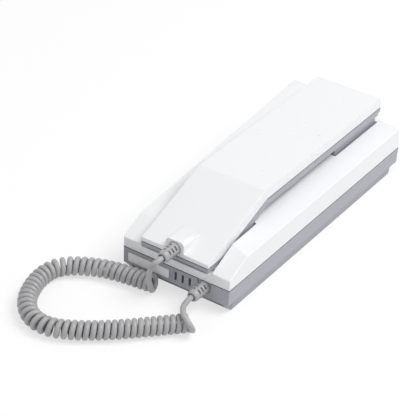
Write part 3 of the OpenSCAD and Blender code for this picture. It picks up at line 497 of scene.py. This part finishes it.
def roundedCopy(nodeName, pieceName, look):
    bm = bmesh.new()
    bm.from_mesh(cadNodes[nodeName].data)
    bmesh.ops.remove_doubles(bm, verts=bm.verts, dist=mergeWithin["moulded"])
    flat = math.radians(rounding["flatWithin"])
    bmesh.ops.dissolve_limit(bm, angle_limit=flat, verts=bm.verts, edges=bm.edges)
    weight = bm.edges.layers.float.new("bevel_weight_edge")
    lines = []
    for edge in bm.edges:
        if len(edge.link_faces) != 2 or not edge.is_convex or edge.calc_length() < look["shortest"] * mm:
            continue
        if edge.calc_face_angle() < math.radians(look["flattest"]):
            continue
        a, b = (v.co.copy() for v in edge.verts)
        share = look["share"](a / mm, b / mm, max(face.normal.z for face in edge.link_faces))
        if share == 0:
            continue
        edge[weight] = share
        lines.append((a, b, share))
    mesh = bpy.data.meshes.new(pieceName)
    bm.to_mesh(mesh)
    bm.free()
    piece = addPiece(pieceName, mesh, look["finish"])
    bevel = piece.modifiers.new("edges", "BEVEL")
    bevel.limit_method, bevel.offset_type = "WEIGHT", "OFFSET"
    bevel.width, bevel.segments, bevel.use_clamp_overlap = look["round"] * mm, look["segments"], False
    plainMesh(piece)
    shadeByAngle(piece.data, look["crease"])
    normals = piece.modifiers.new("normals", "WEIGHTED_NORMAL")
    normals.keep_sharp, normals.weight = True, rounding["normalWeight"]
    plainMesh(piece)
    markRubbedEdges(piece.data, lines, look["round"] * mm)
    # painted shade on the faces down in the shadow gaps, and the dimple's darker tone
    if "gap" in look:
        markGap(piece.data, look["gap"])
    return piece


# how rubbed each point is, by its distance from the rounded edges
def markRubbedEdges(mesh, lines, reach):
    points = np.empty(len(mesh.vertices) * 3)
    mesh.vertices.foreach_get("co", points)
    points = points.reshape(-1, 3)
    rub = np.zeros(len(points))
    for a, b, share in lines:
        a, run = np.array(a), np.array(b) - np.array(a)
        t = np.clip((points - a) @ run / (run @ run), 0, 1)
        away = np.linalg.norm(points - a - t[:, None] * run, axis=1)
        rub = np.maximum(rub, np.clip(rounding["rubbedTo"] - away / (reach * share), 0, 1))
    layer = mesh.attributes.new("edgeRub", "FLOAT", "POINT")
    layer.data.foreach_set("value", rub.astype(np.float32))


# faces down in a shadow gap get painted shade, and the floor of the gate dimple a slightly darker tone
def markGap(mesh, inGap):
    deep = [min(inGap(mesh.vertices[i].co / mm) for i in face.vertices) for face in mesh.polygons]
    layer = mesh.attributes.new("gapShade", "FLOAT", "FACE")
    layer.data.foreach_set("value", np.array(deep, np.float32))


# heights of the two parting lines, in millimetres: the base's is level and the handset's slopes at one end;
# the edges along their shadow gaps stay nearly sharp
partingLine = {"base": 18.0, "y": (-92.5, -43.6), "z": (29.2, 46.6), "gap": 0.5, "slack": 0.05, "reach": 0.8,
               "share": 0.15}

# mouldings of the base, which stay sharp inside
baseSides = {"outer": (39.5, 106.9), "innerWall": 38.0, "rail": -26.2, "railShare": 0.5,
             "ledge": 6.0, "footShare": 0.2, "slack": 0.1}

# sloping end of the handset's outer shell
handsetSlope = {"below": -60.0, "share": 0.45}

# strain reliefs: their tips are round and their slots nearly sharp
reliefTips = {"below": -120.5, "middles": ((0, 34.2), (21.5, 13.3)), "bore": 3.0, "slotShare": 0.2}

# mark of the mould's gate on the handset's top
gateDimple = {"at": (16.7, 30.9), "reach": 2.0, "above": 48.0, "shade": 0.03}


# the next functions say how much of its round an edge from a to b gets,
# where up is how far the steeper of its two faces looks upwards
def allAlike(a, b, up):
    return 1


def onOuterWall(a, b):
    return all(any(abs(c) > limit for c, limit in zip(p, baseSides["outer"])) for p in (a, b))


def bothNear(a, b, axis, value):
    return all(abs(p[axis] - value) < baseSides["slack"] for p in (a, b))


def coverEdges(a, b, up):
    outer = onOuterWall(a, b)
    if not outer and (up < baseSides["slack"] or bothNear(a, b, 0, -baseSides["innerWall"])):
        return 0
    if bothNear(a, b, 0, baseSides["rail"]):
        return baseSides["railShare"]
    return partingLine["share"] if bothNear(a, b, 2, partingLine["base"]) else 1


def caseEdges(a, b, up):
    slack, ledge = baseSides["slack"], baseSides["ledge"]
    low, high = sorted((a[2], b[2]))
    inside = not onOuterWall(a, b) and low > slack
    alongSide = abs(a[0] - b[0]) < slack
    if inside or alongSide and bothNear(a, b, 2, ledge):
        return 0
    if alongSide and low < slack and high > ledge - slack:
        return baseSides["footShare"]
    return partingLine["share"] if bothNear(a, b, 2, partingLine["base"] - partingLine["gap"]) else 1


def aboveHandsetSeam(p):
    return p[2] - np.interp(p[1], partingLine["y"], partingLine["z"])


def onHandsetSeam(a, b):
    return max(abs(aboveHandsetSeam(p)) for p in (a, b)) < partingLine["reach"]


def shellEdges(a, b, up):
    if onHandsetSeam(a, b):
        return partingLine["share"]
    return handsetSlope["share"] if min(a[1], b[1]) < handsetSlope["below"] else 1


def innerEdges(a, b, up):
    return partingLine["share"] if onHandsetSeam(a, b) else 1


def reliefEdges(a, b, up):
    fromMiddle = min(math.hypot(p[0] - x, p[2] - z) for p in (a, b) for x, z in reliefTips["middles"])
    atTip = max(a[1], b[1]) < reliefTips["below"] and fromMiddle > reliefTips["bore"]
    return 1 if atTip else reliefTips["slotShare"]


# and these say how much painted shade a point gets down in a shadow gap, and how much darker the dimple's
# floor is
def inGapBelow(height):
    return -partingLine["gap"] - partingLine["slack"] < height < partingLine["slack"]


def inBaseGap(p):
    return inGapBelow(p[2] - partingLine["base"])


def inHandsetGap(p):
    return inGapBelow(aboveHandsetSeam(p))


def inShellHollows(p):
    x, y = gateDimple["at"]
    inDimple = math.hypot(p[0] - x, p[1] - y) < gateDimple["reach"] and p[2] > gateDimple["above"]
    return gateDimple["shade"] if inDimple else inHandsetGap(p)


# sizes in millimetres and angles in degrees; edges that are shorter or flatter than these stay as they are
shellBase = {"segments": 3, "shortest": 3, "crease": creases["moulded"]}
whiteBase = {**shellBase, "slot": "white_plastic", "finish": "whitePlastic"}
reliefBase = {**shellBase, "slot": "grey_rubber", "finish": "greyVinyl", "round": 0.6, "shortest": 0.15,
              "flattest": 60, "crease": creases["relief"], "share": reliefEdges}
shells = {
    "front_cover": {
        **whiteBase, "piece": "frontCover", "body": "base", "round": 0.7, "flattest": 5,
        "share": coverEdges, "gap": inBaseGap},
    "rear_case": {
        **shellBase, "piece": "rearCase", "body": "base", "slot": "grey_plastic", "finish": "greyPlastic",
        "round": 0.6, "shortest": 4, "flattest": 40, "share": caseEdges, "gap": inBaseGap},
    "handset_outer_shell": {
        **whiteBase, "piece": "handsetOuterShell", "body": "handset", "round": 0.6, "flattest": 14.5,
        "share": shellEdges, "gap": inShellHollows},
    "handset_inner_shell": {
        **shellBase, "piece": "handsetInnerShell", "body": "handset", "slot": "dark_grey_plastic",
        "finish": "darkGreyPlastic", "round": 0.7, "flattest": 40, "share": innerEdges, "gap": inHandsetGap},
    "base_relief": {**reliefBase, "piece": "baseRelief", "body": "base"},
    "handset_relief": {**reliefBase, "piece": "handsetRelief", "body": "handset"},
    "hook_lever": {
        **whiteBase, "piece": "hookLever", "body": "hook_lever", "round": 0.4, "shortest": 2, "flattest": 60,
        "share": allAlike},
}
for nodeName, look in shells.items():
    piece = roundedCopy(nodeName, look["piece"], look)
    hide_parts(nodeName)
    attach(piece, look["body"])
    print("shell rounded:", look["piece"], len(piece.data.polygons), "faces")


# turned and extruded pieces, in millimetres
def roundAbout(at, reach, angle, z):
    return ((at[0] + reach * math.cos(angle)) * mm, (at[1] + reach * math.sin(angle)) * mm, z * mm)


def turnedMesh(name, profile, at, count):
    rings = [(r, z) for r, z in profile if r > 0]
    points = [roundAbout(at, r, 2 * math.pi * i / count, z) for r, z in rings for i in range(count)]
    low, high = len(points), len(points) + 1
    points += [(at[0] * mm, at[1] * mm, profile[0][1] * mm), (at[0] * mm, at[1] * mm, profile[-1][1] * mm)]
    pairs = [(i, (i + 1) % count) for i in range(count)]
    starts = [k * count for k in range(len(rings))]
    faces = [(a + i, a + j, b + j, b + i) for a, b in zip(starts, starts[1:]) for i, j in pairs]
    faces += [(low, j, i) for i, j in pairs]
    faces += [(high, starts[-1] + i, starts[-1] + j) for i, j in pairs]
    mesh = bpy.data.meshes.new(name)
    mesh.from_pydata(points, [], faces)
    shadeByAngle(mesh, creases["turned"])
    return mesh


def prism(bm, outline, z0, z1):
    face = bm.faces.new([bm.verts.new((x * mm, y * mm, z0 * mm)) for x, y in outline])
    risen = bmesh.ops.extrude_face_region(bm, geom=[face])["geom"]
    corners = [v for v in risen if isinstance(v, bmesh.types.BMVert)]
    bmesh.ops.translate(bm, vec=(0, 0, (z1 - z0) * mm), verts=corners)
    bmesh.ops.recalc_face_normals(bm, faces=bm.faces)


def prismPiece(name, outlines, edgeRound, finish, segments=2):
    bm = bmesh.new()
    for outline, z0, z1 in outlines:
        prism(bm, outline, z0, z1)
    mesh = bpy.data.meshes.new(name)
    bm.to_mesh(mesh)
    bm.free()
    piece = addPiece(name, mesh, finish)
    if edgeRound:
        bevel = piece.modifiers.new("edges", "BEVEL")
        bevel.width, bevel.segments, bevel.limit_method = edgeRound * mm, segments, "ANGLE"
        plainMesh(piece)
        shadeByAngle(piece.data, creases["turned"])
    return piece


# door release button: stem, flange under the deck and a cap with a dished top
doorButton = {
    "at": (0.0, -10.0), "count": 64,
    "profile": [(0, 16.4), (1.7, 16.4), (2, 16.7), (2, 32.2), (7.3, 32.2), (7.5, 32.4), (7.5, 33.2),
                (7.3, 33.4), (6, 33.4), (6, 37.1), (5.9, 37.4), (5.7, 37.6), (5.4, 37.7), (5.0, 37.66),
                (4.2, 37.45), (3.0, 37.2), (1.5, 37.06), (0.4, 37.03), (0, 37.03)],
}
mesh = turnedMesh("doorButton", doorButton["profile"], doorButton["at"], doorButton["count"])
piece = addPiece("doorButton", mesh, "darkGreyPlastic")
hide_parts("door_button")
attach(piece, "door_button")
print("door button turned")

# volume knob: a cap with grip ribs and its stem
volumeKnob = {
    "y": -79.0, "z": 26.5, "inner": -40.3, "outer": -41.5, "half": 2.5, "high": 2.0,
    "ribs": 5, "groove": 0.3, "land": (0.2, 0.8), "round": 0.1,
    "stemEnd": -35.5, "stemHalf": 1.2, "stemHigh": 1.3, "lap": 0.1,
}


def knobOutline(knob):
    pitch = 2 * knob["half"] / knob["ribs"]
    points = [(knob["inner"], knob["y"] + knob["half"]), (knob["inner"], knob["y"] - knob["half"])]
    for i in range(knob["ribs"]):
        low = knob["y"] - knob["half"] + i * pitch
        if i == 0:
            points.append((knob["outer"] + knob["groove"], low))
        points += [(knob["outer"], low + share * pitch) for share in knob["land"]]
        points.append((knob["outer"] + knob["groove"], low + pitch))
    return points


def stemOutline(knob):
    cap, end = knob["inner"] - knob["lap"], knob["stemEnd"]
    low, high = knob["y"] - knob["stemHalf"], knob["y"] + knob["stemHalf"]
    return [(cap, low), (end, low), (end, high), (cap, high)]


def bothWays(knob, reach):
    return knob["z"] - knob[reach], knob["z"] + knob[reach]


piece = prismPiece("volumeKnob", [
    (knobOutline(volumeKnob), *bothWays(volumeKnob, "high")),
    (stemOutline(volumeKnob), *bothWays(volumeKnob, "stemHigh"))], volumeKnob["round"], "darkGreyPlastic")
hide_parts("volume_knob")
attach(piece, "volume_knob")
print("volume knob ribbed")

# return spring of the hook, from its low end on the case up to the lever
hookSpring = {"at": (12.0, 60.3), "wire": 0.7, "reach": 2.45, "turns": 6, "low": 2.6, "high": 15.05,
              "perTurn": 28, "sides": 10}


def springPoints(spring):
    count = spring["turns"] * spring["perTurn"]
    points = []
    for i in range(count + 1):
        z = spring["low"] + (spring["high"] - spring["low"]) * i / count
        points.append(roundAbout(spring["at"], spring["reach"], 2 * math.pi * i / spring["perTurn"], z))
    return points


wireRadius = hookSpring["wire"] / 2 * mm
piece = sweepPiece("hookSpring", springPoints(hookSpring), wireRadius, hookSpring["sides"], "zincSteel")
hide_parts("hook_spring")
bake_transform(piece)
print("hook spring wound")


# one screw set on every place of its kind
def makePlacesTree():
    tree, given, result = newTree("screwPlaces", [
        ("Screw", "NodeSocketObject"), ("Finish", "NodeSocketMaterial")])
    link = tree.links.new
    source = tree.nodes.new("GeometryNodeObjectInfo")
    spots = tree.nodes.new("GeometryNodeInstanceOnPoints")
    real = tree.nodes.new("GeometryNodeRealizeInstances")
    paint = tree.nodes.new("GeometryNodeSetMaterial")
    link(given.outputs["Geometry"], spots.inputs["Points"])
    link(given.outputs["Screw"], source.inputs["Object"])
    link(source.outputs["Geometry"], spots.inputs["Instance"])
    link(spots.outputs["Instances"], real.inputs["Geometry"])
    link(real.outputs["Geometry"], paint.inputs["Geometry"])
    link(given.outputs["Finish"], paint.inputs["Material"])
    link(paint.outputs["Geometry"], result.inputs["Geometry"])
    return tree


placesTree = makePlacesTree()
smallScrew = {"headR": 2.4, "headH": 1.5, "shankR": 1.05, "cross": (1.4, 0.35), "deep": 1.0}
screwKinds = {
    "case_screws": {
        "piece": "caseScrews", "body": "base", "places": [(x, y, 8.0) for x in (-33, 33) for y in (-92, 92)],
        "headR": 2.9, "headH": 2.0, "shankR": 1.3, "cross": (1.7, 0.4), "deep": 1.3, "length": 18.0, "up": 1},
    "handset_screws": {
        **smallScrew, "piece": "handsetScrews", "body": "handset",
        "places": [(0, -32.6, 40.8), (0, 32.5, 40.8)], "length": 6.6, "up": 1},
    "board_screws": {
        **smallScrew, "piece": "boardScrews", "body": "base",
        "places": [(x, y, 10.3) for x in (-26, 26) for y in (-32, 22)], "length": 6.5, "up": -1},
}
# head as shares of its radius and height, point as a share of the shank
screwForm = {"head": [(0.62, 0), (0.85, 0.12), (0.97, 0.4), (1, 0.7), (1, 1)], "point": 0.5, "count": 32,
             "clear": 0.5}


def screwMesh(kind):
    shank, length, tip = kind["shankR"], kind["length"], screwForm["point"] * kind["shankR"]
    head = [(kind["headR"] * r, kind["headH"] * h) for r, h in screwForm["head"]]
    profile = [(0, 0), *head, (shank, kind["headH"]), (shank, length - shank), (tip, length), (0, length)]
    screw = addPiece("screw", turnedMesh("screw", profile, (0, 0), screwForm["count"]))
    arm, half = kind["cross"]
    outline = [(arm, -half), (arm, half), (half, half), (half, arm), (-half, arm), (-half, half),
               (-arm, half), (-arm, -half), (-half, -half), (-half, -arm), (half, -arm), (half, -half)]
    cutter = prismPiece("cutter", [(outline, -screwForm["clear"], kind["deep"])], 0, "zincSteel")
    cut = screw.modifiers.new("recess", "BOOLEAN")
    cut.object, cut.operation, cut.solver = cutter, "DIFFERENCE", "EXACT"
    plainMesh(screw)
    bpy.data.objects.remove(cutter)
    if kind["up"] < 0:
        screw.data.transform(Matrix.Rotation(math.pi, 4, "X"))
    shadeByAngle(screw.data, creases["turned"])
    return screw


for nodeName, kind in screwKinds.items():
    screw = screwMesh(kind)
    mesh = bpy.data.meshes.new(kind["piece"])
    mesh.from_pydata([tuple(c * mm for c in place) for place in kind["places"]], [], [])
    piece = addPiece(kind["piece"], mesh)
    runTree(piece, placesTree, {"Screw": screw, "Finish": finishes["zincSteel"]})
    bpy.data.objects.remove(screw)
    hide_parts(nodeName)
    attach(piece, kind["body"])
    print("screws set:", kind["piece"], len(piece.data.polygons), "faces")


# finishes of the CAD nodes that stay
keptNodes = {
    "rating_label": "labelFilm", "circuit_board": "boardLaminate", "terminal_block": "greenPlastic",
    "call_buzzer": "blackPlastic", "hook_pin": "zincSteel", "hook_switch": "blackPlastic",
    "hook_plunger": "redPlastic", "door_switch": "blackPlastic", "volume_switch": "blackPlastic",
    "receiver_capsule": "capsuleMetal", "receiver_gasket": "blackRubber", "microphone": "capsuleMetal",
    "microphone_boot": "blackRubber", "handset_ballast": "zincSteel", "terminal_screws": "zincSteel",
}
for nodeName, finish in keptNodes.items():
    for place in cadNodes[nodeName].material_slots:
        place.material = finishes[finish]
print("CAD nodes finished:", len(keptNodes))

# floor, background and soft studio light; floor and background look whiter than the light that they give
studio = {
    "floorSize": 6.0, "floorDrop": 0.0002, "floorAlbedo": (0.86, 0.86, 0.86),
    "seenAlbedo": (0.36, 0.36, 0.365), "floorGlow": 0.64, "worldLight": 0.46, "seenWorld": 1.0,
    "keyPower": 39.0, "keySize": 1.5, "keyAt": (1.16, 0.46, 2.07),
    "fillPower": 6.0, "fillSize": 1.6, "fillAt": (-0.79, -2.0, 1.21),
}


# 1 for what the camera sees, straight or mirrored, and 0 for the light that falls on the pieces
def seenDirectly(tree):
    rays = tree.nodes.new("ShaderNodeLightPath")
    first = addNode(tree, "ShaderNodeMath", operation="MAXIMUM")
    both = addNode(tree, "ShaderNodeMath", operation="MAXIMUM")
    tree.links.new(rays.outputs["Is Camera Ray"], first.inputs[0])
    tree.links.new(rays.outputs["Is Glossy Ray"], first.inputs[1])
    tree.links.new(first.outputs[0], both.inputs[0])
    tree.links.new(rays.outputs["Is Transmission Ray"], both.inputs[1])
    return both.outputs[0]


def makeStudio(look):
    half, low = look["floorSize"] / 2, -look["floorDrop"]
    corners = [(-half, -half, low), (half, -half, low), (half, half, low), (-half, half, low)]
    mesh = bpy.data.meshes.new("floor")
    mesh.from_pydata(corners, [], [(0, 1, 2, 3)])
    floor = addPiece("floor", mesh)
    material = bpy.data.materials.new("floorPaper")
    material.use_nodes = True
    tree = material.node_tree
    tree.nodes.remove(tree.nodes["Principled BSDF"])
    paper = addNode(tree, "ShaderNodeBsdfDiffuse", {"Color": (*look["floorAlbedo"], 1)})
    glow = addNode(tree, "ShaderNodeEmission", {"Color": (1, 1, 1, 1), "Strength": look["floorGlow"]})
    seen = addNode(tree, "ShaderNodeBsdfDiffuse", {"Color": (*look["seenAlbedo"], 1)})
    both = tree.nodes.new("ShaderNodeAddShader")
    mix = tree.nodes.new("ShaderNodeMixShader")
    tree.links.new(seenDirectly(tree), mix.inputs[0])
    tree.links.new(seen.outputs[0], both.inputs[0])
    tree.links.new(glow.outputs[0], both.inputs[1])
    tree.links.new(paper.outputs[0], mix.inputs[1])
    tree.links.new(both.outputs[0], mix.inputs[2])
    tree.links.new(mix.outputs[0], tree.nodes["Material Output"].inputs["Surface"])
    mesh.materials.append(material)

    world = bpy.data.worlds.new("studio")
    world.use_nodes = True
    scene.world = world
    tree = world.node_tree
    light = tree.nodes["Background"]
    light.inputs["Strength"].default_value = look["worldLight"]
    light.inputs["Color"].default_value = (1, 1, 1, 1)
    white = addNode(tree, "ShaderNodeBackground", {"Color": (1, 1, 1, 1), "Strength": look["seenWorld"]})
    mix = tree.nodes.new("ShaderNodeMixShader")
    tree.links.new(seenDirectly(tree), mix.inputs[0])
    tree.links.new(light.outputs[0], mix.inputs[1])
    tree.links.new(white.outputs[0], mix.inputs[2])
    tree.links.new(mix.outputs[0], tree.nodes["World Output"].inputs["Surface"])

    for name in ("key", "fill"):
        data = bpy.data.lights.new(name + "Softbox", "AREA")
        data.shape, data.size, data.energy = "DISK", look[name + "Size"], look[name + "Power"]
        lamp = bpy.data.objects.new(name + "Softbox", data)
        lamp.location = look[name + "At"]
        lamp.rotation_euler = (-Vector(look[name + "At"])).to_track_quat("-Z", "Y").to_euler()
        scene.collection.objects.link(lamp)


makeStudio(studio)
print("studio lit")
